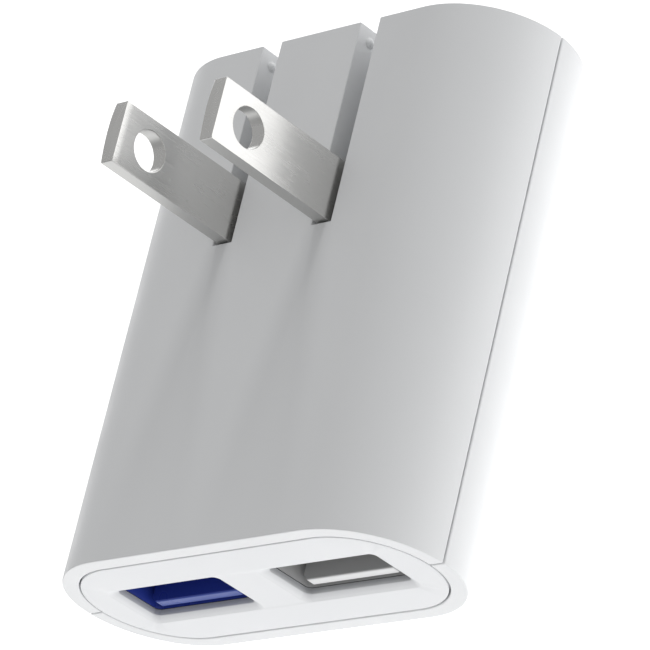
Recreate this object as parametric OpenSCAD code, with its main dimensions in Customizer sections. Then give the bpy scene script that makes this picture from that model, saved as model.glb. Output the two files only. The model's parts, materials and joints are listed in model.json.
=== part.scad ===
// Twin USB wall charger with two folding mains blades.
// It lies on its flat back: +Z is the way the blades stand, -Y is the end with the USB ports.
// The origin is the centre of the back face. All lengths are in millimetres.

/* [Body] */
// Width across the two round sides
body_w = 44.6; // [43:0.1:48]
// Length from the port end to the blade end
body_l = 53.8; // [53:0.1:60]
// Thickness from the back face to the blade face
body_t = 18.6; // [18.6:0.1:20]
// Wall of both shells
wall = 1.6; // [1.5:0.05:1.7]
// Open seam between the shells, and round the port panel
seam = 0.14; // [0.1:0.01:0.2]

/* [Mains blades] */
// Distance between the middles of the two blades
blade_pitch = 12.7; // [12.7:0.1:12.8]
// Blade width along the body
blade_w = 6.35; // [6.1:0.05:6.6]
// Blade thickness
blade_th = 1.52; // [1.4:0.01:1.65]
// How far the blades stand out of the blade face
blade_out = 16.4; // [15.9:0.05:16.4]
// Middle of the unfolded blades, from the middle of the body
blade_y = 8.55; // [8.2:0.05:8.55]
// Radius of the hole in each blade
blade_hole_r = 1.98; // [1.9:0.01:2.05]
// Height of that hole above the blade face
blade_hole_up = 11.9; // [11.5:0.1:12.1]
// Width of the slot that each blade folds into
slot_w = 2.4; // [2.3:0.05:2.6]

/* [USB ports] */
// Distance between the middles of the two ports
port_pitch = 19.4; // [19:0.1:20]
// Width of each opening in the port panel, inside its bevel
port_w = 13; // [12.9:0.05:13.2]
// Height of each opening in the port panel, inside its bevel
port_h = 5.6; // [5.5:0.05:5.8]
// How far the bevel widens each opening at the face of the panel
port_flare = 0.8; // [0.6:0.05:0.9]
// How deep that bevel goes
port_bevel = 0.4; // [0.3:0.05:0.6]

/* [Hidden] */
$fn = 96;
EPS = 0.01;

mid = body_t / 2;                   // height of the seam between the shells
port_end = -body_l / 2;
blade_end = body_l / 2;
sides = [-1, 1];
fit = 0.05;                         // hairline gap between parts that rest on each other

// Fold axis: set a little behind and below the blade so that the folded blade ends flush.
fold_back = 1.0;
fold_y = blade_y - fold_back;
fold_z = body_t - 2.94;
blade_x = blade_pitch / 2;
blade_root_z = body_t - 1.4;        // where the wide part of the blade ends
blade_tip_z = body_t + blade_out;
slot_gap = 0.18;                    // air under and behind the blade in its slot
slot_start = blade_y - blade_w / 2 - slot_gap;
slot_floor = fold_z - fold_back - blade_w / 2 - slot_gap;
channel_wall = 1.0;
channel_bed = 1.1;                  // thickness of the channel's floor
channel_start = fold_y + 4.7;

// Lip of the front shell inside the seam
lip_out = 0.9;                      // how far it stands in from the outside
lip_h = 0.9;                        // how far it reaches into the rear shell
lip_root = 0.4;                     // how far it runs up behind the front shell's wall
lip_gap = 0.1;
lip_y = port_end + 5.3;             // where the lip starts
rebate_y = lip_y - 0.15;            // where the rebate that takes it starts

// Rib inside both shells that stops the port panel
stop_y = port_end + 4.3;
stop_len = 0.8;
stop_h = 0.5;

// Hub and its bearings
shaft_r = 1.6;
shaft_gap = 0.08;
shaft_end = 10.4;
disc_r = 2.2;
disc_w = 2.1;
tail_r = 3.4;
neck_w = 2.2;
cam_half = 1.5;
cam_r = 1.7;
cam_w = 3.2;
bearing_x = 9.4;
bearing_w = 1.6;
bearing_half = 2.6;                 // half the length of a bearing block along the body
keeper_z = 9.9;
keeper_th = 1.2;
keeper_half = 11.5;
keeper_back = 5.2;                  // how far it reaches behind the fold line
ear_x = 13.2;
ear_r = 2.2;
ear_top = 12.9;
screw_hole_r = 0.85;
screw_thread_r = 0.8;
screw_head_r = 1.7;
screw_head_h = 1.3;
screw_len = 5.6;
screw_tip = 0.7;

// Circuit board
board_top = 6.1;
board_th = 1.2;
board_w = 36.8;
board_y0 = port_end + 2.6;
board_y1 = blade_end - wall - 0.6;
post_x = 15.2;
post_ys = [-11.6, 22];
post_r = 1.5;
post_pin_r = 0.8;
solder_out = 0.7;                   // how far pins come out below the board
solder_gap = 0.02;                  // film of solder under a contact's foot
hole_gap = 0.1;                     // how much wider a hole is than what goes through it

// USB receptacles
panel_th = 1;
shell_th = 0.3;
liner = 0.3;
usb_y0 = port_end + panel_th + fit;
usb_len = 12.6;
usb_leg_y = usb_y0 + 7;             // front of the shell's legs
usb_leg_len = 2;
tongue_w = 11.5;
tongue_th = 1;
tongue_low = 2.1;                   // underside of the tongue below the middle of the port
usb_contact_xs = [-3.5, -1, 1, 3.5];

// Transformer
tr_x = -7.4;
tr_y = -5.2;
tr_z = board_top + 5.5;
tr_core = [13.2, 12.6, 5.6];
tr_leg = 3.4;
tube_wall = 1.5;                    // both walls of the bobbin's tube together
tr_pin_xs = [-4, 0, 4];
tr_pin_y = 5.4;
tr_pin_r = 0.32;

// Bulk capacitors, lying along the body
cap_r = 4;
cap_len = 11.6;
cap_xs = [5.4, 13.6];
cap_y = 0.6;
lead_r = 0.3;
lead_gap = 1.75;
lead_out = 1.1;

// Choke
choke_at = [-13, 17.4];
choke_r = 3.8;
choke_post = 1.8;
choke_h = 8.4;
choke_flange = 1.2;

// Rounded bar across the body: a flat strip with a half-round at each end.
module stadium(w, t) {
    square([w - t, t], center = true);
    for (s = sides) translate([s * (w - t) / 2, 0]) circle(r = t / 2);
}

// Rectangle with round corners.
module round_rect(w, h, r) {
    square([w - 2 * r, h], center = true);
    square([w, h - 2 * r], center = true);
    for (sx = sides, sy = sides)
        translate([sx * (w / 2 - r), sy * (h / 2 - r)]) circle(r = r, $fn = 32);
}

// Extrudes a section drawn in X and Z along the body, from y0 to y1.
module along_body(y0, y1) {
    translate([0, y1, 0]) rotate([90, 0, 0]) linear_extrude(y1 - y0) children();
}

// Round bar across the body, centred at x, on the line y, z.
module across(x, y, z, r, w) {
    translate([x - w / 2, y, z]) rotate([0, 90, 0]) cylinder(r = r, h = w);
}

// Block from one corner to the other.
module block(low, high) {
    translate(low) cube(high - low);
}

// Section of the body at full size, or smaller by inset all round.
module body_section(inset = 0) {
    translate([0, mid]) stadium(body_w - 2 * inset, body_t - 2 * inset);
}

// Strip of the section between two heights.
module height_band(z0, z1) {
    translate([-body_w, z0]) square([2 * body_w, z1 - z0]);
}

// Half a casing: the wall and the closed blade end, open at the port end.
module half_casing(z0, z1) {
    difference() {
        along_body(port_end, blade_end)
            intersection() { body_section(); height_band(z0, z1); }
        along_body(port_end - 1, blade_end - wall) body_section(wall);
    }
}

// Rib round the inside that the port panel stops against.
module panel_stop(z0, z1) {
    sunk = 0.3;                     // how deep the rib is rooted in the wall
    along_body(stop_y, stop_y + stop_len) intersection() {
        difference() { body_section(wall - sunk); body_section(wall + stop_h); }
        height_band(z0, z1);
    }
}

// Front shell ---------------------------------------------------------------

module blade_channels() {
    for (s = sides)
        block([s * blade_x - slot_w / 2 - channel_wall, channel_start, slot_floor - channel_bed],
              [s * blade_x + slot_w / 2 + channel_wall, blade_end - wall / 2, body_t - wall / 2]);
}

module blade_slots() {
    for (s = sides)
        block([s * blade_x - slot_w / 2, slot_start, slot_floor],
              [s * blade_x + slot_w / 2, blade_end + 1, body_t + 1]);
}

// Low dome in each slot that the folded blade's tip clicks past.
module click_nubs() {
    dome_r = 0.65;
    dome_h = 0.32;
    from_end = 1.45;
    from_face = 1.7;
    for (s = sides)
        translate([s * blade_x - slot_w / 2 + dome_h - dome_r, blade_end - from_end, body_t - from_face])
            rotate([0, 0, 180]) sphere(r = dome_r);
}

module bearing_ribs() {
    for (s = sides)
        block([s * bearing_x - bearing_w / 2, fold_y - bearing_half, fold_z + fit],
              [s * bearing_x + bearing_w / 2, fold_y + bearing_half, body_t - wall / 2]);
}

module screw_bosses() {
    for (s = sides)
        translate([s * ear_x, fold_y, ear_top + fit])
            cylinder(r = ear_r, h = body_t - wall / 2 - ear_top - fit);
}

// Inner lip that enters the rear shell's rebate and hides the seam.
module seam_lip() {
    difference() {
        along_body(lip_y, blade_end - lip_out) intersection() {
            body_section(lip_out);
            height_band(mid - lip_h, mid + lip_root);
        }
        along_body(port_end, blade_end - wall) body_section(wall);
    }
}

module front_shell() {
    color("whitesmoke") difference() {
        union() {
            half_casing(mid + seam / 2, body_t);
            seam_lip();
            panel_stop(mid + seam / 2, body_t);
            blade_channels();
            bearing_ribs();
            screw_bosses();
        }
        difference() { blade_slots(); click_nubs(); }
        // room for the cam between the bearings, the bearings, and the screw holes
        across(0, fold_y, fold_z, cam_r + 0.1, 2 * shaft_end - 4);
        bearing_bore();
        for (s = sides)
            translate([s * ear_x, fold_y, ear_top - 1]) cylinder(r = screw_hole_r, h = screw_len - 1.2);
    }
}

// Round hole that the hub's shaft turns in.
module bearing_bore() {
    across(0, fold_y, fold_z, shaft_r + shaft_gap, 2 * shaft_end + 0.6);
}

// Rear shell ----------------------------------------------------------------

module board_posts() {
    for (s = sides, y = post_ys) translate([s * post_x, y, 0]) {
        intersection() {
            cylinder(r = post_r, h = board_top - board_th - fit);
            translate([0, 0, wall]) cylinder(r = post_r, h = board_top);
        }
        translate([0, 0, wall]) cylinder(r = post_pin_r, h = board_top - wall - 0.2);
    }
}

module rear_shell() {
    color("white") difference() {
        union() {
            half_casing(0, mid - seam / 2);
            panel_stop(0, mid - seam / 2);
            board_posts();
        }
        along_body(rebate_y, blade_end - lip_out + lip_gap) intersection() {
            body_section(lip_out - lip_gap);
            height_band(mid - lip_h - lip_gap, mid + 1);
        }
    }
}

// Port panel ----------------------------------------------------------------

// Opening for one USB port, with its outer bevel.
module port_opening(x) {
    corner = 0.6;
    past = 0.2;                     // the cut starts this far outside the panel
    flare = port_flare * (port_bevel + past) / port_bevel;
    translate([x, 0, mid]) {
        along_body(port_end - 1, port_end + 8) round_rect(port_w, port_h, corner);
        hull() {
            along_body(port_end + port_bevel - EPS, port_end + port_bevel)
                round_rect(port_w, port_h, corner);
            along_body(port_end - past, port_end - past + EPS)
                round_rect(port_w + 2 * flare, port_h + 2 * flare, corner + flare / 2);
        }
    }
}

module port_panel() {
    skirt = 1.2;
    notch_gap = 0.2;
    color("white") difference() {
        union() {
            along_body(port_end, port_end + panel_th) body_section(wall + seam);
            along_body(port_end + panel_th - EPS, stop_y - fit) difference() {
                body_section(wall + seam);
                body_section(wall + seam + skirt);
            }
        }
        for (s = sides) port_opening(s * port_pitch / 2);
        // notch in the skirt for the edge of the circuit board
        block([-board_w / 2 - notch_gap, board_y0 - 2 * notch_gap, board_top - board_th - notch_gap],
              [board_w / 2 + notch_gap, stop_y + 1, board_top + notch_gap]);
    }
}

// Folding blades and hub ----------------------------------------------------

module blade(x) {
    tip_arc_r = 10;
    bevel_in = 0.35;
    bevel_up = 0.5;
    difference() {
        intersection() {
            union() {
                block([x - blade_th / 2, blade_y - blade_w / 2, blade_root_z],
                      [x + blade_th / 2, blade_y + blade_w / 2, blade_tip_z]);
                block([x - blade_th / 2, fold_y - neck_w / 2, fold_z - tail_r - 1],
                      [x + blade_th / 2, fold_y + neck_w / 2, blade_root_z + 0.5]);
            }
            union() {
                across(x, blade_y, blade_tip_z - tip_arc_r, tip_arc_r, 4);
                across(x, fold_y, fold_z, tail_r, 4);
            }
        }
        for (s = sides)
            translate([x + s * blade_th / 2, 0, blade_tip_z - bevel_up])
                rotate([0, -s * atan2(bevel_in, bevel_up), 0])
                    translate([s > 0 ? 0 : -2, -body_l, -0.3]) cube([2, 2 * body_l, 4]);
        across(x, blade_y, body_t + blade_hole_up, blade_hole_r, 4);
    }
}

module blade_hub() {
    color("dimgray") difference() {
        union() {
            across(0, fold_y, fold_z, shaft_r, 2 * shaft_end);
            for (s = sides) across(s * blade_x, fold_y, fold_z, disc_r, disc_w);
            intersection() {
                across(0, fold_y, fold_z, cam_r, cam_w);
                block([-cam_w, fold_y - cam_half, fold_z - cam_half],
                      [cam_w, fold_y + cam_half, fold_z + cam_half]);
            }
        }
        for (s = sides) {
            block([s * blade_x - blade_th / 2, fold_y - neck_w / 2, fold_z - tail_r],
                  [s * blade_x + blade_th / 2, fold_y + neck_w / 2, blade_root_z + EPS]);
            block([s * blade_x - blade_th / 2, blade_y - blade_w / 2, blade_root_z],
                  [s * blade_x + blade_th / 2, blade_y + blade_w / 2, blade_tip_z]);
        }
        // flats that the click spring rests against, cut from the shaft beside the cam
        for (z = [fold_z - cam_half - 2, fold_z + cam_half])
            block([-cam_w / 2, fold_y - 3, z], [cam_w / 2, fold_y + 3, z + 2]);
        for (y = [fold_y - cam_half - 2, fold_y + cam_half])
            block([-cam_w / 2, y, fold_z - 3], [cam_w / 2, y + 2, fold_z + 3]);
    }
}

// Plate behind the hub with the other halves of the two bearings.
module hub_keeper() {
    neck_half = 1.6;                // neck between the plate and each screw ear
    notch_half = 1.8;               // notch that lets a contact spring pass
    notch_y = fold_y - 4;
    color("gainsboro") difference() {
        union() {
            block([-keeper_half, fold_y - keeper_back, keeper_z],
                  [keeper_half, channel_start - 0.3, keeper_z + keeper_th]);
            for (s = sides) {
                block([s * bearing_x - bearing_w / 2, fold_y - bearing_half, keeper_z + 0.2],
                      [s * bearing_x + bearing_w / 2, fold_y + bearing_half, fold_z - fit]);
                translate([s * ear_x, fold_y, keeper_z]) cylinder(r = ear_r, h = ear_top - keeper_z);
                translate([s * keeper_half, fold_y, keeper_z + keeper_th / 2])
                    cube([1, 2 * neck_half, keeper_th], center = true);
            }
        }
        bearing_bore();
        for (s = sides) {
            translate([s * ear_x, fold_y, keeper_z - 1]) cylinder(r = screw_hole_r + 0.1, h = 6);
            block([s * blade_x - notch_half, fold_y - keeper_back - 0.1, keeper_z - 1],
                  [s * blade_x + notch_half, notch_y, keeper_z + 3]);
        }
    }
}

module keeper_screws() {
    drive = [2.2, 0.4, 0.8];        // one arm of the cross recess
    color("silver") for (s = sides) translate([s * ear_x, fold_y, keeper_z]) difference() {
        union() {
            translate([0, 0, -screw_head_h]) cylinder(r = screw_head_r, h = screw_head_h);
            translate([0, 0, -EPS]) cylinder(r = screw_thread_r, h = screw_len);
            translate([0, 0, screw_len - EPS]) cylinder(r1 = screw_thread_r, r2 = 0.2, h = screw_tip);
        }
        for (turn = [0, 90]) rotate([0, 0, turn])
            translate([-drive[0] / 2, -drive[1] / 2, -screw_head_h - 0.1]) cube(drive);
    }
}

// Leaf under the cam that holds the blades open or folded.
module detent_spring() {
    th = 0.25;
    half_w = 1.4;
    span = 2.2;                     // half the distance between its two legs
    top = fold_z - cam_r - fit;
    foot = keeper_z + keeper_th;
    color("silver") {
        block([-half_w, fold_y - span, top - th], [half_w, fold_y + span, top]);
        for (s = sides) block([-half_w, fold_y + s * span - th / 2, foot],
                              [half_w, fold_y + s * span + th / 2, top]);
    }
}

// Leaf from the board up to the tail of one blade.
module contact_spring(x) {
    th = 0.3;
    w = 3;
    foot = 1.6;
    past = 0.9;                     // how far it reaches past the fold line
    top = fold_z - tail_r - fit;
    bottom = board_top + solder_gap;
    leg_y = fold_y - 4.8;
    block([x - w / 2, leg_y, bottom], [x + w / 2, leg_y + th, top]);
    block([x - w / 2, leg_y, top - th], [x + w / 2, fold_y + past, top]);
    block([x - w / 2, leg_y, bottom], [x + w / 2, leg_y + foot, bottom + th]);
}

// Circuit board ---------------------------------------------------------------

module main_board() {
    color("darkgreen") difference() {
        block([-board_w / 2, board_y0, board_top - board_th], [board_w / 2, board_y1, board_top]);
        for (s = sides, y = post_ys)
            translate([s * post_x, y, 0]) cylinder(r = post_pin_r + hole_gap, h = board_top + 1);
        for (x = tr_pin_xs, s = sides)
            translate([tr_x + x, tr_y + s * tr_pin_y, 0])
                cylinder(r = tr_pin_r + hole_gap, h = board_top + 1);
        for (x = cap_xs, s = sides)
            translate([x + s * lead_gap, cap_y + lead_out, 0])
                cylinder(r = lead_r + hole_gap, h = board_top + 1);
        for (p = sides, s = sides)
            translate([p * port_pitch / 2 + s * usb_leg_x(), usb_leg_y + usb_leg_len / 2, board_top])
                cube([0.7, usb_leg_len + 0.3, 3 * board_th], center = true);
    }
}

module insulation_sheet() {
    half_w = 12.6;
    th = 0.25;
    rest_z = wall + 0.02;
    color("khaki") block([-half_w, board_y0 + 3.4, rest_z], [half_w, board_y1 - 0.4, rest_z + th]);
}

// USB receptacles -------------------------------------------------------------

function usb_leg_x() = port_w / 2 + shell_th / 2;

// Folded metal shell with one leg each side.
module usb_shell(x) {
    difference() {
        translate([x, 0, mid]) along_body(usb_y0, usb_y0 + usb_len)
            round_rect(port_w + 2 * shell_th, port_h + 2 * shell_th, 0.8);
        translate([x, 0, mid]) along_body(usb_y0 - 1, usb_y0 + usb_len + 1)
            round_rect(port_w, port_h, 0.6);
    }
    for (s = sides)
        block([x + s * usb_leg_x() - shell_th / 2, usb_leg_y, board_top - board_th - 0.8],
              [x + s * usb_leg_x() + shell_th / 2, usb_leg_y + usb_leg_len, mid]);
}

// Moulding inside the shell: thin lining, back wall and tongue.
module usb_insulator(x) {
    tongue_top = mid - tongue_low + tongue_th;
    in_w = port_w - 2 * liner;
    in_h = port_h - 2 * liner;
    back = usb_y0 + usb_len - 2.6;
    lead_in = 1.0;
    tongue_front = usb_y0 - 0.1;
    front_bevel = 0.1;
    corner_cut = 0.8;
    difference() {
        translate([x, 0, mid]) difference() {
            along_body(usb_y0, usb_y0 + usb_len - 0.1) round_rect(port_w - 0.02, port_h - 0.02, 0.59);
            along_body(usb_y0 - 1, back) round_rect(in_w, in_h, 0.35);
            hull() {
                along_body(usb_y0 - EPS, usb_y0) round_rect(port_w - 0.1, port_h - 0.1, 0.6);
                along_body(usb_y0 + lead_in, usb_y0 + lead_in + EPS) round_rect(in_w, in_h, 0.35);
            }
        }
        contact_paths(x, 0.02);
    }
    difference() {
        block([x - tongue_w / 2, tongue_front, mid - tongue_low],
              [x + tongue_w / 2, back + 0.5, tongue_top]);
        // bevel along the front edge of the tongue and at its two corners
        translate([x - tongue_w, tongue_front, tongue_top - front_bevel])
            rotate([45, 0, 0]) cube([2 * tongue_w, 2, 2]);
        for (s = sides)
            translate([x + s * tongue_w / 2, tongue_front, 0])
                rotate([0, 0, 45]) cube([corner_cut, corner_cut, 2 * body_t], center = true);
        contact_paths(x, 0.02);
    }
}

// Four flat contacts along the tongue, through the back wall and down to the board.
module contact_paths(x, grow = 0) {
    th = 0.25;
    proud = 0.1;                    // how far they stand above the tongue
    foot = 0.9;
    half_w = 0.5 + grow;
    top = mid - tongue_low + tongue_th + proud;
    bottom = board_top + solder_gap;
    y0 = usb_y0 + 2.1;
    y1 = usb_y0 + usb_len + 0.6;
    for (c = usb_contact_xs) {
        block([x + c - half_w, y0 - grow, top - th - grow], [x + c + half_w, y1, top + grow]);
        block([x + c - half_w, y1 - th, bottom], [x + c + half_w, y1, top + grow]);
        block([x + c - half_w, y1 - th, bottom], [x + c + half_w, y1 + foot, board_top + th + solder_gap]);
    }
}

// Transformer -----------------------------------------------------------------

module transformer_core() {
    window = [3.5, 9.2];
    color("dimgray") translate([tr_x, tr_y, tr_z]) difference() {
        cube(tr_core, center = true);
        for (s = sides) translate([s * (tr_leg + window[0]) / 2, 0, 0])
            cube([window[0], window[1], tr_core[2] + 1], center = true);
    }
}

module transformer_bobbin() {
    tube = [tr_leg + tube_wall, 8.8, tr_core[2] + tube_wall];
    flange = [10.2, 0.6, 9.4];
    pin_bar = [10.2, 2.2, 1.9];
    core_gap = 0.06;
    color("black") translate([tr_x, tr_y, tr_z]) difference() {
        union() {
            cube(tube, center = true);
            for (s = sides) {
                translate([0, s * (tube[1] - flange[1]) / 2, 0]) cube(flange, center = true);
                translate([0, s * 5.1, -4]) cube(pin_bar, center = true);
            }
        }
        cube([tr_leg + core_gap, 12, tr_core[2] + core_gap], center = true);
        for (x = tr_pin_xs, s = sides)
            translate([x, s * tr_pin_y, -6]) cylinder(r = tr_pin_r, h = 2.4);
    }
}

module transformer_winding() {
    len = 7.5;
    tube = [tr_leg + tube_wall + 0.04, tr_core[2] + tube_wall + 0.04];
    color("gold") translate([tr_x, tr_y + len / 2, tr_z]) rotate([90, 0, 0]) linear_extrude(len)
        difference() { round_rect(9.9, 9, 2); square(tube, center = true); }
}

module transformer_pins() {
    bottom = board_top - board_th - solder_out;
    top = tr_z - 3.6;
    color("silver") for (x = tr_pin_xs, s = sides)
        translate([tr_x + x, tr_y + s * tr_pin_y, bottom])
            cylinder(r = tr_pin_r, h = top - bottom, $fn = 24);
}

// Other parts on the board ------------------------------------------------------

// Can with its rolled groove, along the body with its lead end at y.
module can(x, y, z, r, len) {
    groove = 0.4;
    translate([x, y, z]) rotate([90, 0, 0]) rotate_extrude()
        polygon([[0, 0], [r - 0.3, 0], [r, 0.3], [r, 1.2], [r - groove, 1.6], [r - groove, 2.0],
                 [r, 2.4], [r, len - 0.4], [r - 0.4, len], [0, len]]);
}

module bulk_capacitors() {
    color("darkslateblue") for (x = cap_xs) can(x, cap_y, board_top + cap_r + fit, cap_r, cap_len);
}

module bulk_capacitor_leads() {
    below = 0.6;
    color("silver") for (x = cap_xs, s = sides) {
        translate([x + s * lead_gap, cap_y + 0.02, board_top + cap_r]) rotate([-90, 0, 0])
            cylinder(r = 0.8 * lead_r, h = lead_out, $fn = 24);
        translate([x + s * lead_gap, cap_y + lead_out, board_top - board_th - below])
            cylinder(r = lead_r, h = cap_r + board_th + below + lead_r, $fn = 24);
    }
}

module output_capacitor() {
    radius = 2.5;
    color("darkgreen") can(0, port_end + 11.5, board_top + radius + fit, radius, 8);
}

module film_capacitor() {
    at = [13, 17.6, board_top + fit];
    color("gold") translate(at) linear_extrude(9) round_rect(5.4, 6.6, 0.6);
}

module safety_capacitor() {
    radius = 3.6;
    color("steelblue") across(0, 18.2, board_top + 0.8 + radius, radius, 3);
}

// Ferrite reel that stands on the board.
module choke_core() {
    color("dimgray") translate([choke_at[0], choke_at[1], board_top + fit]) rotate_extrude()
        polygon([[0, 0], [choke_r, 0], [choke_r, choke_flange], [choke_post, choke_flange],
                 [choke_post, choke_h - choke_flange], [choke_r, choke_h - choke_flange],
                 [choke_r, choke_h], [0, choke_h]]);
}

module choke_winding() {
    h = choke_h - 2 * choke_flange - 0.1;
    color("peru") translate([choke_at[0], choke_at[1], board_top + 2 * fit + choke_flange]) difference() {
        cylinder(r = 3.4, h = h);
        translate([0, 0, -1]) cylinder(r = choke_post + 0.02, h = h + 2);
    }
}

// Ceramic tube with a metal cap at each end.
module fuse() {
    at = [16.6, 12.2, board_top + 1.6];
    tube_r = 1.2;
    cap = 1.5;
    color("burlywood") translate(at) rotate([90, 0, 0]) rotate_extrude()
        polygon([[0, 0], [1.1, 0], [cap, 0.6], [cap, 1.6], [tube_r, 2], [tube_r, 6], [cap, 6.4], [cap, 7.4],
                 [1.1, 8], [0, 8]]);
}

// Moulded chip: a block of the given size at x, y, with its legs.
// It stands on the board, or hangs gap below it when that is given.
module chip(x, y, size, legs, gap = 0) {
    leg = [0.6, 0.4, size[2] * 0.4];
    z = gap > 0 ? board_top - board_th - gap - size[2] : board_top + fit;
    translate([x, y, z]) {
        translate([-size[0] / 2, -size[1] / 2, 0]) cube(size);
        for (s = sides, i = [0 : legs - 1])
            translate([s * (size[0] / 2 + 0.25), (i - (legs - 1) / 2) * size[1] / legs, size[2] / 4])
                cube(leg, center = true);
    }
}

module bridge_rectifier() {
    color("black") chip(-14.2, 6.5, [4, 4.8, 2.2], 2);
}

module optocoupler() {
    color("black") chip(0, 6.6, [6.4, 4.6, 3.3], 2);
}

module controller_chip() {
    color("black") chip(-6, 8, [3.9, 4.9, 1.5], 4, 0.1);
}

module output_rectifier() {
    color("black") chip(8, -14, [6, 5, 2.2], 1, 0.05);
}

module charge_chip() {
    color("black") chip(-9, -17, [3, 3, 1.2], 3, 0.1);
}

front_shell();
rear_shell();
port_panel();
color("silver") blade(-blade_x);  // blade_left
color("silver") blade(blade_x);  // blade_right
blade_hub();
hub_keeper();
keeper_screws();
detent_spring();
color("goldenrod") contact_spring(-blade_x);  // contact_spring_left
color("goldenrod") contact_spring(blade_x);  // contact_spring_right
main_board();
insulation_sheet();
color("silver") usb_shell(-port_pitch / 2);  // usb_shell_left
color("mediumblue") usb_insulator(-port_pitch / 2);  // usb_insulator_left
color("gold") contact_paths(-port_pitch / 2);  // usb_contacts_left
color("silver") usb_shell(port_pitch / 2);  // usb_shell_right
color("lightgray") usb_insulator(port_pitch / 2);  // usb_insulator_right
color("gold") contact_paths(port_pitch / 2);  // usb_contacts_right
transformer_core();
transformer_bobbin();
transformer_winding();
transformer_pins();
bulk_capacitors();
bulk_capacitor_leads();
output_capacitor();
film_capacitor();
safety_capacitor();
choke_core();
choke_winding();
fuse();
bridge_rectifier();
optocoupler();
controller_chip();
output_rectifier();
charge_chip();
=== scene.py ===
import json
import math

import bmesh
import bpy
from mathutils import Matrix, Vector


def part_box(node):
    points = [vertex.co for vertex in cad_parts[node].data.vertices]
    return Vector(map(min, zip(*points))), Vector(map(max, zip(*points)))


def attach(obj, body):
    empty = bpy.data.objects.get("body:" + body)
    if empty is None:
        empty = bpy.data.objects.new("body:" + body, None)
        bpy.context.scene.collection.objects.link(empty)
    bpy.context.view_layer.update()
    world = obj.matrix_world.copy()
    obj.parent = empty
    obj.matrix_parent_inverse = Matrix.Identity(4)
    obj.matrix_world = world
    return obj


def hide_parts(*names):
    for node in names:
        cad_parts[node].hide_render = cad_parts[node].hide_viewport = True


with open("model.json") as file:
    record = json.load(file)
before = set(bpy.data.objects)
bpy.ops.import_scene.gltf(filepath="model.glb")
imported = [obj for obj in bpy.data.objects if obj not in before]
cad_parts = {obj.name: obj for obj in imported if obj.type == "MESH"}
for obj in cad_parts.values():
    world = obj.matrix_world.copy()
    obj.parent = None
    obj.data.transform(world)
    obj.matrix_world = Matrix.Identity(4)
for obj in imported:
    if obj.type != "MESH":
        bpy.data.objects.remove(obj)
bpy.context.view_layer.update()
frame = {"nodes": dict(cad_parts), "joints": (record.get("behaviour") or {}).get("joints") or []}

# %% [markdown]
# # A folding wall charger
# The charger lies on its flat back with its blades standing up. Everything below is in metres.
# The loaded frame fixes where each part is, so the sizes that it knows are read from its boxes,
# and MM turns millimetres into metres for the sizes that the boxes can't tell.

MM = 0.001

shell_low, shell_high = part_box("rear_shell")[0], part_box("front_shell")[1]
PORT_END, BLADE_END = shell_low.y, shell_high.y
BACK, FACE = shell_low.z, shell_high.z
MID = (BACK + FACE) / 2
HALF_WIDTH = shell_high.x
ROUND = (FACE - BACK) / 2
WALL = 1.6 * MM
SEAM = 0.14 * MM
print("body", [round(v / MM, 2) for v in (2 * HALF_WIDTH, BLADE_END - PORT_END, FACE - BACK)], "mm")

# %% [markdown]
# ## The camera and the room
# A long lens a little under half a metre away keeps the body's long edges almost parallel. It looks down
# on the charger from beyond the port end and one side, and is rolled over on its own axis, so that
# the body runs across the frame from corner to corner.

# %% Camera
AZIMUTH, ELEVATION, ROLL = (math.radians(a) for a in (58.14, 37.80, -55.50))
AIM = Vector((2.55, -1.28, 11.62)) * MM
DISTANCE = 445 * MM
back = Vector((math.sin(AZIMUTH) * math.cos(ELEVATION), -math.cos(AZIMUTH) * math.cos(ELEVATION),
               math.sin(ELEVATION)))
level = Vector((math.cos(AZIMUTH), math.sin(AZIMUTH), 0))
right = level * math.cos(ROLL) + back.cross(level) * math.sin(ROLL)
camera_data = bpy.data.cameras.new("camera")
camera_data.sensor_width = 36
camera_data.lens = 267
camera_data.clip_start, camera_data.clip_end = 0.01, 20
camera = bpy.data.objects.new("camera", camera_data)
turn = Matrix((right, back.cross(right), back)).transposed()
camera.matrix_world = Matrix.Translation(AIM + DISTANCE * back) @ turn.to_4x4()
bpy.context.collection.objects.link(camera)
bpy.context.scene.camera = camera
bpy.context.scene.view_settings.view_transform = "Standard"

# %% [markdown]
# The body is white on a white ground, so the ground has to be brighter than anything on the body.
# A floor that also gives off light does that, like the light table used for small things: it takes away
# the shadow, lights the sides from below, and is what the bare metal of the blades mirrors.
# The open air above is a dimmer grey, which leaves the face that looks straight up a shade darker.

# %% Floor and light
def finish_tree(material):
    """Clears a new material's nodes and gives back its nodes, links and output."""
    material.use_nodes = True
    nodes, links = material.node_tree.nodes, material.node_tree.links
    nodes.clear()
    return nodes, links, nodes.new("ShaderNodeOutputMaterial")


FLOOR_HALF, FLOOR_GAP = 3, 0.02 * MM
floor_mesh = bpy.data.meshes.new("floor")
bm = bmesh.new()
bmesh.ops.create_grid(bm, x_segments=1, y_segments=1, size=FLOOR_HALF)
bmesh.ops.translate(bm, verts=bm.verts, vec=(0, 0, BACK - FLOOR_GAP))
bm.to_mesh(floor_mesh)
bm.free()
floor = bpy.data.objects.new("floor", floor_mesh)
bpy.context.collection.objects.link(floor)

floor_material = bpy.data.materials.new("light_floor")
nodes, links, output = finish_tree(floor_material)
floor_shader = nodes.new("ShaderNodeBsdfPrincipled")
floor_shader.inputs["Base Color"].default_value = (0.6, 0.6, 0.6, 1)
floor_shader.inputs["Roughness"].default_value = 0.8
floor_shader.inputs["Emission Color"].default_value = (1, 1, 1, 1)
floor_shader.inputs["Emission Strength"].default_value = 0.97
links.new(floor_shader.outputs["BSDF"], output.inputs["Surface"])
floor.data.materials.append(floor_material)

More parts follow.
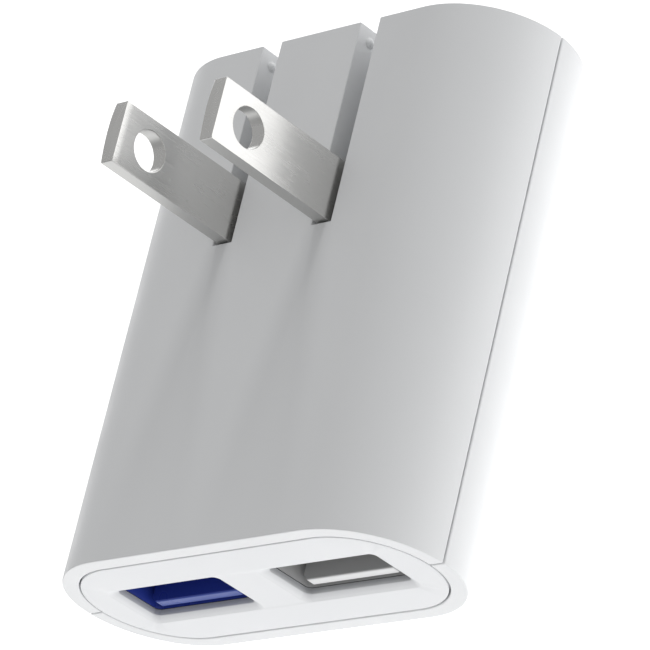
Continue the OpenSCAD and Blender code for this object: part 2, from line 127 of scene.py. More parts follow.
world = bpy.data.worlds.new("studio")
bpy.context.scene.world = world
world.use_nodes = True
world.node_tree.nodes["Background"].inputs["Color"].default_value = (1, 1, 1, 1)
world.node_tree.nodes["Background"].inputs["Strength"].default_value = 0.42


def soft_light(name, place, aim, size, watts):
    """A square lamp at a place, turned to face a point."""
    data = bpy.data.lights.new(name, "AREA")
    data.size = size
    data.energy = watts
    lamp = bpy.data.objects.new(name, data)
    lamp.location = place
    lamp.rotation_mode = "QUATERNION"
    lamp.rotation_quaternion = (Vector(aim) - Vector(place)).to_track_quat("-Z", "Y")
    bpy.context.collection.objects.link(lamp)


MIDDLE = (0, 0, 0.01)
soft_light("side_box", (0.75, -0.15, 0.22), MIDDLE, 0.5, 0.12)
soft_light("end_box", (-0.1, -0.8, 0.3), MIDDLE, 0.5, 0.7)
soft_light("far_box", (0.04, 1.2, 0.66), MIDDLE, 0.4, 4.6)
print("camera", camera.location.length, "m from the charger; lights:", len(bpy.data.lights))

# %% [markdown]
# ## How the pieces are made
# Most pieces here have one section all the way along the body: a flat strip with a half-round at each end.
# It could be drawn point by point, but a circle already has the round ends in it. Turning it by
# half a step leaves no point on its axes, so its four quarters can be moved apart and the gaps between them
# become the flats. The same trick gives every rectangle with round corners.

# %% Round-cornered loops and bars
QUARTER_STEPS = 32                  # faces in each quarter of the body's round sides
CUT = 1e-8                          # a cut nearer than this to a corner goes through the corner


def round_loop(bm, size, radius, y, middle=(0.0, 0.0), steps=8):
    """Edge loop of a round-cornered rectangle that faces along Y. size and middle are in X and Z."""
    count = 4 * steps
    made = bmesh.ops.create_circle(bm, segments=count, radius=radius / math.cos(math.pi / count))
    verts = made["verts"]
    bmesh.ops.rotate(bm, verts=verts, matrix=Matrix.Rotation(math.pi / count, 3, "Z"))
    for v in verts:
        v.co.x += math.copysign(size[0] / 2 - radius, v.co.x)
        v.co.y += math.copysign(size[1] / 2 - radius, v.co.y)
    bmesh.ops.rotate(bm, verts=verts, matrix=Matrix.Rotation(math.pi / 2, 3, "X"))
    bmesh.ops.translate(bm, verts=verts, vec=(middle[0], y, middle[1]))
    return list({e for v in verts for e in v.link_edges})


def join_loops(bm, loops):
    """Skins a row of loops, each to the next. No two neighbours may lie in one plane round one middle:
    bridging then can't tell which way round they run, and may cross them over."""
    for near, far in zip(loops, loops[1:]):
        bmesh.ops.bridge_loops(bm, edges=near + far)


def bar(inset, y0, y1, z0=None, z1=None):
    """Closed bar with the body's section, drawn in by inset, and trimmed to a band of heights."""
    bm = bmesh.new()
    size = (2 * (HALF_WIDTH - inset), 2 * (ROUND - inset))
    loops = [round_loop(bm, size, ROUND - inset, y, (0, MID), QUARTER_STEPS) for y in (y0, y1)]
    join_loops(bm, loops)
    for loop in loops:
        bmesh.ops.edgeloop_fill(bm, edges=loop)
    for z, way in ((z0, -1), (z1, 1)):
        if z is None:
            continue
        everything = bm.verts[:] + bm.edges[:] + bm.faces[:]
        cut = bmesh.ops.bisect_plane(bm, geom=everything, dist=CUT, plane_co=(0, 0, z),
                                     plane_no=(0, 0, way), clear_outer=True)
        rim = [e for e in cut["geom_cut"] if isinstance(e, bmesh.types.BMEdge)]
        bmesh.ops.edgeloop_fill(bm, edges=rim)
    bmesh.ops.recalc_face_normals(bm, faces=bm.faces)
    return bm


def box(low, high):
    """Closed block from one corner to the other."""
    bm = bmesh.new()
    low, high = Vector(low), Vector(high)
    verts = bmesh.ops.create_cube(bm, size=1)["verts"]
    bmesh.ops.scale(bm, verts=verts, vec=high - low)
    bmesh.ops.translate(bm, verts=verts, vec=(low + high) / 2)
    return bm


def rod(x, y, z, radius, length, axis="X", steps=48):
    """Closed round rod along X or Z, centred at x, y, z."""
    bm = bmesh.new()
    verts = bmesh.ops.create_cone(bm, cap_ends=True, segments=steps, radius1=radius, radius2=radius,
                                  depth=length)["verts"]
    if axis == "X":
        bmesh.ops.rotate(bm, verts=verts, matrix=Matrix.Rotation(math.pi / 2, 3, "Y"))
    bmesh.ops.translate(bm, verts=verts, vec=(x, y, z))
    return bm

# %% [markdown]
# A shell with ribs, slots and bearings is easiest to think of as a moulder does: a plain outer form,
# then a core taken out of it, then ribs added and slots cut. A boolean modifier does each of these
# steps, and it gives one closed skin at the end. A moulded edge is never knife sharp, so the edges that
# can be seen or touched get a very small round, which is what catches the light along them.

# %% Carving, softening and finishing
def make_object(name, bm):
    """Turns a bmesh into an object of its own and frees the bmesh."""
    mesh = bpy.data.meshes.new(name)
    bm.to_mesh(mesh)
    bm.free()
    piece = bpy.data.objects.new(name, mesh)
    bpy.context.collection.objects.link(piece)
    return piece


def carve(piece, tool_bm, operation):
    """Adds (UNION) or takes away (DIFFERENCE) the shape in tool_bm."""
    tool = make_object("tool", tool_bm)
    step = piece.modifiers.new("carve", "BOOLEAN")
    step.operation, step.solver, step.object = operation, "MANIFOLD", tool
    made = bpy.data.meshes.new_from_object(piece.evaluated_get(bpy.context.evaluated_depsgraph_get()))
    piece.modifiers.clear()
    piece.data = made
    bpy.data.objects.remove(tool)


def soften(bm, chosen, width, segments=3, least=40):
    """Rounds the sharp edges that chosen(edge) picks."""
    edges = [e for e in bm.edges if e.is_manifold and chosen(e)
             and e.calc_face_angle() > math.radians(least)]
    bmesh.ops.bevel(bm, geom=edges, offset=width, offset_type="OFFSET", segments=segments, profile=0.5,
                    affect="EDGES", clamp_overlap=False, material=-1)
    return len(edges)


def clean(bm, merge=0.002 * MM):
    """Merges stray doubles and turns every face outwards."""
    bmesh.ops.remove_doubles(bm, verts=bm.verts, dist=merge)
    bmesh.ops.dissolve_degenerate(bm, edges=bm.edges, dist=merge)
    bmesh.ops.recalc_face_normals(bm, faces=bm.faces)
    if bm.calc_volume(signed=True) < 0:
        bmesh.ops.reverse_faces(bm, faces=bm.faces)


def finish_piece(piece, body, slot, material, *nodes, crease=35):
    """Shades a finished piece, gives it its material, and ties it to the frame."""
    piece.data.materials.clear()
    piece.data.materials.append(material)
    piece.data.shade_smooth()
    piece.data.set_sharp_from_angle(angle=math.radians(crease))
    normals = piece.modifiers.new("flat faces stay flat", "WEIGHTED_NORMAL")
    normals.keep_sharp = True
    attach(piece, body)
    if nodes:
        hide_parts(*nodes)
    print(f"{piece.name}: {len(piece.data.polygons)} faces, open edges {count_open_edges(piece)}")


def count_open_edges(piece):
    """How many edges of a piece don't have exactly two faces: none on a closed skin."""
    bm = bmesh.new()
    bm.from_mesh(piece.data)
    count = sum(1 for e in bm.edges if not e.is_manifold)
    bm.free()
    return count

# %% [markdown]
# ## Finishes
# Each finish is a small node tree on Object coordinates, so its grain has a real size in millimetres
# wherever the piece is. Three things make plastic look moulded and not painted: a very fine grain
# in the height, a slow drift in the gloss where hands have polished it, and a drift in colour that is only
# just there. One maker covers all the plastics, with the size and depth of the grain as its choices.

# %% Plastic finishes
def grain(nodes, links, size, detail=3.0, stretch=(1, 1, 1)):
    """Noise whose blobs are about size metres across, on the piece's own coordinates."""
    place = nodes.new("ShaderNodeTexCoord")
    spread = nodes.new("ShaderNodeMapping")
    spread.inputs["Scale"].default_value = stretch
    noise = nodes.new("ShaderNodeTexNoise")
    noise.inputs["Scale"].default_value = 1 / size
    noise.inputs["Detail"].default_value = detail
    links.new(place.outputs["Object"], spread.inputs["Vector"])
    links.new(spread.outputs["Vector"], noise.inputs["Vector"])
    return noise


def spread_values(nodes, links, source, low, high, start=0.3, end=0.7):
    """Maps a grey pattern onto the numbers from low to high."""
    ramp = nodes.new("ShaderNodeMapRange")
    ramp.inputs["From Min"].default_value, ramp.inputs["From Max"].default_value = start, end
    ramp.inputs["To Min"].default_value, ramp.inputs["To Max"].default_value = low, high
    links.new(source, ramp.inputs["Value"])
    return ramp.outputs["Result"]


def blend_colours(nodes, links, amount, first, second):
    """Mixes two colours by a grey pattern."""
    mix = nodes.new("ShaderNodeMix")
    mix.data_type = "RGBA"
    mix.inputs[6].default_value = (*first, 1)
    mix.inputs[7].default_value = (*second, 1)
    links.new(amount, mix.inputs["Factor"])
    return mix.outputs[2]


def raise_surface(nodes, links, height, depth):
    """Bump of a real depth in metres."""
    bump = nodes.new("ShaderNodeBump")
    bump.inputs["Strength"].default_value = 1
    bump.inputs["Distance"].default_value = depth
    links.new(height, bump.inputs["Height"])
    return bump.outputs["Normal"]


def new_finish(name):
    """Starts a material with one shader on it."""
    material = bpy.data.materials.new(name)
    nodes, links, output = finish_tree(material)
    shader = nodes.new("ShaderNodeBsdfPrincipled")
    links.new(shader.outputs["BSDF"], output.inputs["Surface"])
    return material, nodes, links, shader


def along(nodes, links, axis, start, end):
    """Grows from 0 to 1 between two places on one of the piece's own axes."""
    place = nodes.new("ShaderNodeTexCoord")
    split = nodes.new("ShaderNodeSeparateXYZ")
    links.new(place.outputs["Object"], split.inputs["Vector"])
    return spread_values(nodes, links, split.outputs[axis], 0, 1, start, end)


HAND_PATCH = 9 * MM                 # size of the patches that hands polish


def plastic(name, colour, gloss=(0.38, 0.5), grain_size=0.35 * MM, depth=0.004 * MM, drift=0.97,
            coat=0.0, front=None):
    """Moulded plastic: gloss is its range of roughness, and drift how much darker its darkest patches are.
    front gives a paler colour for the part nearest the port end, and where it starts and has faded out; the
    step from it to the darker colour further in is painted light and shade."""
    material, nodes, links, shader = new_finish(name)
    fine = grain(nodes, links, grain_size)
    slow = grain(nodes, links, HAND_PATCH, 2.0)
    darker = tuple(c * drift for c in colour)
    tint = blend_colours(nodes, links, slow.outputs["Fac"], colour, darker)
    # Painted light and shade: the front colour, near the port end, fades into the darker colour further in.
    if front:
        pale, start, end = front
        both = blend_colours(nodes, links, along(nodes, links, "Y", start, end), pale, colour)
        links.new(tint, both.node.inputs[7])
        tint = both
    links.new(tint, shader.inputs["Base Color"])
    links.new(spread_values(nodes, links, slow.outputs["Fac"], *gloss), shader.inputs["Roughness"])
    links.new(raise_surface(nodes, links, fine.outputs["Fac"], depth), shader.inputs["Normal"])
    shader.inputs["Coat Weight"].default_value = coat
    shader.inputs["Coat Roughness"].default_value = 0.12
    return material


materials_before = len(bpy.data.materials)
white_plastic = plastic("white_plastic", (0.84, 0.85, 0.86))
# The panel is white plastic; deeper than its front it is painted grey as shade, so its bevels darken as they
# go in and the walls of its openings are in painted shade.
panel_shade_band = (PORT_END + 0.12 * MM, PORT_END + 0.8 * MM)
panel_plastic = plastic("panel_plastic", (0.50, 0.51, 0.53), gloss=(0.42, 0.55),
                        front=((0.83, 0.84, 0.855), *panel_shade_band))
hub_plastic = plastic("hub_plastic", (0.025, 0.025, 0.028), grain_size=0.2 * MM)
keeper_plastic = plastic("keeper_plastic", (0.42, 0.43, 0.44))
tongue_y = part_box("usb_insulator_left")[0].y
# The band at the tongue's front edge where the sockets' painted light meets their painted shade.
painted_edge_band = (tongue_y + 0.04 * MM, tongue_y + 0.1 * MM)
# Navy blue, with the tongue's front edge painted a paler blue as a highlight.
blue_moulding = plastic("blue_moulding", (0.026, 0.05, 0.33), gloss=(0.25, 0.38), depth=0.002 * MM,
                        front=((0.035, 0.075, 0.36), *painted_edge_band))
# White plastic, painted grey as shade everywhere but at the tongue's front edge, which keeps the white.
grey_moulding = plastic("grey_moulding", (0.44, 0.443, 0.446), gloss=(0.3, 0.42), depth=0.002 * MM,
                        front=((0.84, 0.845, 0.85), *painted_edge_band))
bobbin_plastic = plastic("bobbin_plastic", (0.02, 0.02, 0.02), gloss=(0.5, 0.62))
chip_epoxy = plastic("chip_epoxy", (0.028, 0.028, 0.03), gloss=(0.55, 0.7), grain_size=0.08 * MM)
film_case = plastic("film_case", (0.72, 0.55, 0.10), gloss=(0.3, 0.42))
winding_tape = plastic("winding_tape", (0.76, 0.55, 0.06), gloss=(0.22, 0.4), grain_size=0.9 * MM,
                       depth=0.02 * MM, drift=0.9)
safety_ceramic = plastic("safety_ceramic", (0.03, 0.13, 0.42), gloss=(0.15, 0.3), coat=0.5)
dark_sleeve = plastic("dark_sleeve", (0.02, 0.028, 0.07), gloss=(0.14, 0.26), coat=0.4)
green_sleeve = plastic("green_sleeve", (0.02, 0.15, 0.08), gloss=(0.14, 0.26), coat=0.4)
amber_film = plastic("amber_film", (0.62, 0.42, 0.10), gloss=(0.12, 0.25), depth=0.001 * MM)
fuse_ceramic = plastic("fuse_ceramic", (0.66, 0.58, 0.44), gloss=(0.3, 0.45), drift=0.85)
ferrite = plastic("ferrite", (0.06, 0.06, 0.065), gloss=(0.45, 0.6), grain_size=0.15 * MM,
                  depth=0.012 * MM, drift=0.7)
print("plastics made", len(bpy.data.materials) - materials_before)

# %% [markdown]
# Bare metal shows how it was made. The blades are rolled strip that is stamped and then plated, and they are
# pushed in and pulled out along their length, so their fine scratches run that way. Noise that is squeezed
# across and drawn out along one axis gives both. The same maker, with other colours and
# scratch directions, does the springs, pins, screws and gilt contacts.

# %% Metal finishes
LINE_WIDTH, LINE_SQUEEZE = 0.12 * MM, 0.03
DULL_PATCH = 2.5 * MM


def narrow_sides(nodes, links):
    """1 where a piece faces along Y and 0 where it faces along X."""
    place = nodes.new("ShaderNodeTexCoord")
    split = nodes.new("ShaderNodeSeparateXYZ")
    size = nodes.new("ShaderNodeMath")
    size.operation = "ABSOLUTE"
    links.new(place.outputs["Normal"], split.inputs["Vector"])
    links.new(split.outputs["Y"], size.inputs[0])
    return spread_values(nodes, links, size.outputs["Value"], 0, 1, 0.6, 0.8)


def metal(name, colour, gloss=(0.16, 0.26), lines_on="Z", depth=0.0012 * MM, drift=0.9, wear=0.0,
          painted_shade=None, sheared=None):
    """Plated or bare metal with fine lines along one axis; wear adds duller patches.
    A darker colour with two heights may be given to paint the lower part darker as shade: full below the
    first height, faded out by the second.
    sheared gives a colour and a roughness for the narrow sides of a stamped piece, which face along Y."""
    material, nodes, links, shader = new_finish(name)
    shader.inputs["Metallic"].default_value = 1
    stretch = [1, 1, 1]
    stretch["XYZ".index(lines_on)] = LINE_SQUEEZE
    lines = grain(nodes, links, LINE_WIDTH, 4.0, stretch)
    patches = grain(nodes, links, DULL_PATCH, 4.0)
    darker = tuple(c * drift for c in colour)
    tint = blend_colours(nodes, links, patches.outputs["Fac"], colour, darker)
    # Painted shade: darker below a height, fading out above it.
    if painted_shade:
        shade_colour, start, end = painted_shade
        faded = blend_colours(nodes, links, along(nodes, links, "Z", start, end), shade_colour, colour)
        links.new(tint, faded.node.inputs[7])
        tint = faded
    both = nodes.new("ShaderNodeMath")
    both.operation = "ADD"
    links.new(spread_values(nodes, links, lines.outputs["Fac"], *gloss), both.inputs[0])
    links.new(spread_values(nodes, links, patches.outputs["Fac"], 0, wear, 0.5, 0.75), both.inputs[1])
    roughness = both.outputs["Value"]
    if sheared:
        cut_colour, cut_roughness = sheared
        narrow = narrow_sides(nodes, links)
        cut = blend_colours(nodes, links, narrow, colour, cut_colour)
        links.new(tint, cut.node.inputs[6])
        tint = cut
        mixed = nodes.new("ShaderNodeMix")
        mixed.inputs["B"].default_value = cut_roughness
        links.new(narrow, mixed.inputs["Factor"])
        links.new(roughness, mixed.inputs["A"])
        roughness = mixed.outputs["Result"]
    links.new(tint, shader.inputs["Base Color"])
    links.new(roughness, shader.inputs["Roughness"])
    links.new(raise_surface(nodes, links, lines.outputs["Fac"], depth), shader.inputs["Normal"])
    return material


# The blades are painted darker near the face as shade, fading out by 12 mm above it.
blade_shade_band = (FACE + 2 * MM, FACE + 12 * MM)
blade_nickel = metal("blade_nickel", (0.84, 0.835, 0.82), gloss=(0.18, 0.28), wear=0.06,
                     painted_shade=((0.66, 0.655, 0.64), *blade_shade_band),
                     sheared=((0.56, 0.56, 0.55), 0.42))
usb_steel = metal("usb_steel", (0.62, 0.62, 0.63), lines_on="Y")
spring_steel = metal("spring_steel", (0.56, 0.56, 0.57), lines_on="Y")
screw_steel = metal("screw_steel", (0.60, 0.60, 0.62), gloss=(0.2, 0.3), lines_on="X", wear=0.1)
spring_bronze = metal("spring_bronze", (0.72, 0.48, 0.26), lines_on="Z")
contact_gilt = metal("contact_gilt", (0.88, 0.64, 0.24), gloss=(0.1, 0.18), lines_on="Y")
tinned_wire = metal("tinned_wire", (0.66, 0.66, 0.67), gloss=(0.2, 0.34))
print("plastics and metals made", len(bpy.data.materials) - materials_before)

# %% [markdown]
# Two finishes have a pattern of their own. Enamelled copper lies turn on turn, so a wave at the wire's pitch
# gives it ridges, and the gaps between the turns are painted dark as shade. The circuit board is green
# lacquer over copper paths, which show through it a little paler, with small bare pads that are tinned.

# %% Wire and circuit board
def wound_wire(name, colour, pitch):
    """Turns of varnished wire stacked up the Z axis."""
    material, nodes, links, shader = new_finish(name)
    place = nodes.new("ShaderNodeTexCoord")
    turns = nodes.new("ShaderNodeTexWave")
    turns.bands_direction = "Z"
    turns.inputs["Scale"].default_value = math.pi / 10 / pitch
    turns.inputs["Distortion"].default_value = 0.15
    links.new(place.outputs["Object"], turns.inputs["Vector"])
    # The gaps between turns are painted darker as shade.
    gap = tuple(c * 0.25 for c in colour)
    ridge = spread_values(nodes, links, turns.outputs["Fac"], 0, 1, 0.05, 0.45)
    links.new(blend_colours(nodes, links, ridge, gap, colour), shader.inputs["Base Color"])
    links.new(raise_surface(nodes, links, turns.outputs["Fac"], pitch / 3), shader.inputs["Normal"])
    shader.inputs["Metallic"].default_value = 0.9
    shader.inputs["Roughness"].default_value = 0.25
    shader.inputs["Coat Weight"].default_value = 0.6
    return material


def circuit_board(name, lacquer, over_copper, path_gap, pad_gap):
    """Green lacquer with paler paths under it and small tinned pads."""
    material, nodes, links, shader = new_finish(name)
    place = nodes.new("ShaderNodeTexCoord")
    paths = nodes.new("ShaderNodeTexBrick")
    paths.inputs["Scale"].default_value = 0.25 / path_gap
    paths.inputs["Mortar Size"].default_value = 0.045
    paths.inputs["Color1"].default_value = (*lacquer, 1)
    paths.inputs["Color2"].default_value = (*(c * 0.85 for c in lacquer), 1)
    paths.inputs["Mortar"].default_value = (*over_copper, 1)
    pads = nodes.new("ShaderNodeTexVoronoi")
    pads.inputs["Scale"].default_value = 1 / pad_gap
    for texture in (paths, pads):
        links.new(place.outputs["Object"], texture.inputs["Vector"])
    bare = spread_values(nodes, links, pads.outputs["Distance"], 1, 0, 0.16, 0.19)
    tin = blend_colours(nodes, links, bare, lacquer, (0.72, 0.72, 0.70))
    links.new(paths.outputs["Color"], tin.node.inputs[6])
    links.new(tin, shader.inputs["Base Color"])
    links.new(bare, shader.inputs["Metallic"])
    links.new(raise_surface(nodes, links, paths.outputs["Fac"], 0.03 * MM), shader.inputs["Normal"])
    shader.inputs["Roughness"].default_value = 0.3
    return material


WIRE_PITCH, PATH_GAP, PAD_GAP = 0.42 * MM, 1.5 * MM, 3.2 * MM
enamelled_copper = wound_wire("enamelled_copper", (0.62, 0.24, 0.09), WIRE_PITCH)
green_board = circuit_board("green_board", (0.01, 0.12, 0.05), (0.03, 0.26, 0.10), PATH_GAP, PAD_GAP)
print("wire pitch", round(WIRE_PITCH / MM, 2), "mm")
print("finishes made", len(bpy.data.materials) - materials_before)

# %% [markdown]
# ## The rear shell
# The back half of the case is a tray. Its seam meets the front shell half way up the round sides, and its
# inner edge is cut back so that a lip on the front shell can stand inside it, which hides the seam from
# light and dust. Four posts hold the circuit board, and a rib stops the port panel.

# %% Rear shell
EDGE = 0.12 * MM                    # width of the small round on the case's edges
OVERSHOOT = 1 * MM                  # how far a cutter runs past what it cuts
seam_low, seam_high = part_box("rear_shell")[1].z, MID + SEAM / 2
LIP_IN, LIP_DOWN, LIP_UP, LIP_GAP = 0.9 * MM, 0.9 * MM, 0.4 * MM, 0.1 * MM
LIP_START = PORT_END + 5.3 * MM
REBATE_START = LIP_START - 0.15 * MM

rear_shell = make_object("rear_case", bar(0, PORT_END, BLADE_END, z1=seam_low))
carve(rear_shell, bar(WALL, PORT_END - OVERSHOOT, BLADE_END - WALL), "DIFFERENCE")
carve(rear_shell, bar(LIP_IN - LIP_GAP, REBATE_START, BLADE_END - LIP_IN + LIP_GAP,
                      z0=MID - LIP_DOWN - LIP_GAP), "DIFFERENCE")

# %% Board posts and panel stop
POST_X, POST_YS = 15.2 * MM, (-11.6 * MM, 22 * MM)
POST_R, POST_PIN_R = 1.5 * MM, 0.8 * MM
board_low, board_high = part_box("main_board")
post_top, pin_top = board_low.z - 0.05 * MM, board_high.z - 0.2 * MM
for x, y in [(side * POST_X, y) for side in (-1, 1) for y in POST_YS]:
    post = rod(x, y, (post_top + WALL) / 2, POST_R, post_top - WALL, "Z", 32)
    carve(rear_shell, post, "UNION")
    pin = rod(x, y, (pin_top + 2 * WALL) / 2, POST_PIN_R, pin_top - 2 * WALL, "Z", 24)
    carve(rear_shell, pin, "UNION")

STOP_START, STOP_LEN = PORT_END + 4.3 * MM, 0.8 * MM
STOP_OUT, STOP_ROOT, STOP_DOWN = 0.5 * MM, 0.3 * MM, 1.2 * MM
stop = make_object("stop", bar(WALL - STOP_ROOT, STOP_START, STOP_START + STOP_LEN, z1=seam_low - STOP_DOWN))
carve(stop, bar(WALL + STOP_OUT, STOP_START - OVERSHOOT, STOP_START + 2 * OVERSHOOT), "DIFFERENCE")


def take(piece):
    """Turns a helper piece back into a bmesh and removes it."""
    bm = bmesh.new()
    bm.from_mesh(piece.data)
    bpy.data.objects.remove(piece)
    return bm


carve(rear_shell, take(stop), "UNION")

# %% Softening the rear shell
NEAR, SKIN = 0.001 * MM, 0.05 * MM  # how near counts as on a plane, and as on the outer skin


def on_plane(edge, axis, value):
    """True for an edge that lies in the plane where one coordinate has one value."""
    return all(abs(v.co[axis] - value) < NEAR for v in edge.verts)


def outside(edge):
    """True for an edge on the case's outer skin."""
    for v in edge.verts:
        dx = max(abs(v.co.x) - (HALF_WIDTH - ROUND), 0)
        if math.hypot(dx, v.co.z - MID) < ROUND - SKIN:
            return False
    return True


def case_edge(seam):
    """Picks the case's own edges: round the port end, the blade end and the seam."""
    def chosen(edge):
        rim = on_plane(edge, 1, PORT_END)
        return rim or (outside(edge) and (on_plane(edge, 1, BLADE_END) or on_plane(edge, 2, seam)))
    return chosen


bm = bmesh.new()
bm.from_mesh(rear_shell.data)
clean(bm)
print("rear edges softened", soften(bm, case_edge(seam_low), EDGE))
bm.to_mesh(rear_shell.data)
bm.free()
finish_piece(rear_shell, "housing", "white_shell", white_plastic, "rear_shell")

# %% [markdown]
# ## The front shell
# The front half carries everything that the blades need. Each blade has a slot that it swings down into:
# near the hub the slot is open to the inside, and further along it becomes a channel with its own floor that
# runs out through the end of the case, so that a fingertip can catch the folded blade.
# Two ribs under the face hold one half of each bearing, and two bosses take the keeper's screws.

# %% Sizes of the slots
blade_boxes = {side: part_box(f"blade_{side}") for side in ("left", "right")}
blade_x = {side: (low.x + high.x) / 2 for side, (low, high) in blade_boxes.items()}
fold = frame["joints"][0]
FOLD_Y, FOLD_Z = fold["pos_m"][1], fold["pos_m"][2]
SLOT_HALF, SLOT_GAP = 1.2 * MM, 0.18 * MM
slot_start = blade_boxes["left"][0].y - SLOT_GAP
blade_width = blade_boxes["left"][1].y - blade_boxes["left"][0].y
blade_middle = (blade_boxes["left"][0].y + blade_boxes["left"][1].y) / 2
slot_floor = FOLD_Z - (blade_middle - FOLD_Y) - blade_width / 2 - SLOT_GAP
channel_start = FOLD_Y + 4.7 * MM
CHANNEL_WALL, CHANNEL_BED = 1 * MM, 1.1 * MM
print("slot", round(2 * SLOT_HALF / MM, 2), "mm wide; its floor is at", round(slot_floor / MM, 2), "mm")

# %% Front shell
front_shell = make_object("front_case", bar(0, PORT_END, BLADE_END, z0=seam_high))
carve(front_shell, bar(WALL, PORT_END - OVERSHOOT, BLADE_END - WALL), "DIFFERENCE")
lip = make_object("lip", bar(LIP_IN, LIP_START, BLADE_END - LIP_IN, MID - LIP_DOWN, MID + LIP_UP))
carve(lip, bar(WALL, PORT_END, BLADE_END - WALL), "DIFFERENCE")
carve(front_shell, take(lip), "UNION")

BEARING_X, BEARING_W, BEARING_HALF, BEARING_GAP = 9.4 * MM, 1.6 * MM, 2.6 * MM, 0.05 * MM
SCREW_HEAD_R, BOSS_R, BOSS_START = 1.7 * MM, 2.2 * MM, 12.95 * MM
ear_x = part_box("keeper_screws")[1].x - SCREW_HEAD_R
reach = SLOT_HALF + CHANNEL_WALL
rib_top = FACE - WALL / 2           # ribs are rooted half way into the wall
for x in blade_x.values():
    carve(front_shell, box((x - reach, channel_start, slot_floor - CHANNEL_BED),
                           (x + reach, BLADE_END - WALL / 2, rib_top)), "UNION")
for side in (-1, 1):
    rib_x = side * BEARING_X
    carve(front_shell, box((rib_x - BEARING_W / 2, FOLD_Y - BEARING_HALF, FOLD_Z + BEARING_GAP),
                           (rib_x + BEARING_W / 2, FOLD_Y + BEARING_HALF, rib_top)), "UNION")
    carve(front_shell, rod(side * ear_x, FOLD_Y, (BOSS_START + rib_top) / 2, BOSS_R,
                           rib_top - BOSS_START, "Z"), "UNION")

# %% Slots, bearing bores and screw holes
BEARING_R, SHAFT_ROOM_R = 1.68 * MM, 1.8 * MM
SCREW_HOLE_R, SCREW_HOLE_LEN, SCREW_HOLE_Z = 0.85 * MM, 4.4 * MM, 14.1 * MM
shaft_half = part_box("blade_hub")[1].x
for x in blade_x.values():
    carve(front_shell, box((x - SLOT_HALF, slot_start, slot_floor),
                           (x + SLOT_HALF, BLADE_END + OVERSHOOT, FACE + OVERSHOOT)), "DIFFERENCE")
carve(front_shell, rod(0, FOLD_Y, FOLD_Z, SHAFT_ROOM_R, 2 * (shaft_half - 2 * MM)), "DIFFERENCE")
carve(front_shell, rod(0, FOLD_Y, FOLD_Z, BEARING_R, 2 * (shaft_half + 0.3 * MM)), "DIFFERENCE")
for side in (-1, 1):
    hole = rod(side * ear_x, FOLD_Y, SCREW_HOLE_Z, SCREW_HOLE_R, SCREW_HOLE_LEN, "Z", 24)
    carve(front_shell, hole, "DIFFERENCE")


BESIDE = 0.01 * MM                  # how near to a slot's wall counts as beside it


def front_edge(edge):
    """The case's own edges, and the edges of the slots that a finger meets."""
    if case_edge(seam_high)(edge):
        return True
    beside_slot = any(abs(abs(v.co.x) - abs(x)) < SLOT_HALF + BESIDE for v in edge.verts
                      for x in blade_x.values())
    return on_plane(edge, 2, FACE) or (on_plane(edge, 1, BLADE_END) and beside_slot)


bm = bmesh.new()
bm.from_mesh(front_shell.data)
clean(bm)
print("front edges softened", soften(bm, front_edge, EDGE))
bm.to_mesh(front_shell.data)
bm.free()
finish_piece(front_shell, "housing", "white_shell", white_plastic, "front_shell")

# %% [markdown]
# Near the open end of each slot a low dome stands out of one wall, where a folded blade would click past
# it. Here it stops just short of the blade. It is a small ball sunk most of its way into the wall.

# %% Click nubs
NUB_R, NUB_UP, NUB_ROOT = 0.65 * MM, 0.32 * MM, 0.3 * MM
NUB_FROM_END, NUB_FROM_FACE = 1.45 * MM, 1.7 * MM
bm = bmesh.new()
for x in blade_x.values():
    ball = bmesh.ops.create_uvsphere(bm, u_segments=48, v_segments=24, radius=NUB_R)["verts"]
    place = (x - SLOT_HALF + NUB_UP - NUB_R, BLADE_END - NUB_FROM_END, FACE - NUB_FROM_FACE)
    bmesh.ops.rotate(bm, verts=ball, matrix=Matrix.Rotation(math.pi / 2, 3, "Y"))
    bmesh.ops.translate(bm, verts=ball, vec=place)
    sunk = {f for v in ball for f in v.link_faces} | {e for v in ball for e in v.link_edges} | set(ball)
    cut = bmesh.ops.bisect_plane(bm, geom=list(sunk), dist=CUT, plane_no=(-1, 0, 0), clear_outer=True,
                                 plane_co=(x - SLOT_HALF - NUB_ROOT, 0, 0))
    bmesh.ops.edgeloop_fill(bm, edges=[e for e in cut["geom_cut"] if isinstance(e, bmesh.types.BMEdge)])
bmesh.ops.recalc_face_normals(bm, faces=bm.faces)
nubs = make_object("click_nubs", bm)
finish_piece(nubs, "housing", "white_shell", white_plastic, crease=60)

# %% [markdown]
# ## The port panel
# A separate plate closes the port end. It sits inside the rim of the case with a hairline gap round it, and
# a skirt behind it stops against a rib. Each opening has a wide shallow bevel that guides the USB plug in.
# Its front is a flat face with two holes, and everything else on it is a set of loops joined one behind the
# other, so the bevels and the small rounds between them are only more loops.

# %% Port panel
panel_low, panel_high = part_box("port_panel")
PANEL_TH, SKIRT = 1 * MM, 1.2 * MM
PORT_W, PORT_H = 13 * MM, 5.6 * MM
FLARE, FLARE_DEEP, CORNER = 0.8 * MM, 0.4 * MM, 0.6 * MM
ROUND_OFF, OPENING_STEPS, NOTCH_GAP = 0.06 * MM, 10, 0.2 * MM
port_x = [(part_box(f"usb_shell_{s}")[0].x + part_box(f"usb_shell_{s}")[1].x) / 2 for s in ("left", "right")]
panel_size = (panel_high.x - panel_low.x, panel_high.z - panel_low.z)


def panel_loop(bm, inset, y):
    """One loop round the panel's rim, drawn in by inset."""
    size = (panel_size[0] - 2 * inset, panel_size[1] - 2 * inset)
    return round_loop(bm, size, size[1] / 2, y, (0, MID), QUARTER_STEPS)


def opening_loop(bm, x, grow, deep):
    """One loop round an opening, grown by grow and lying deep behind the panel's face."""
    size = (PORT_W + 2 * grow, PORT_H + 2 * grow)
    return round_loop(bm, size, CORNER + grow / 2, PORT_END + deep, (x, MID), OPENING_STEPS)


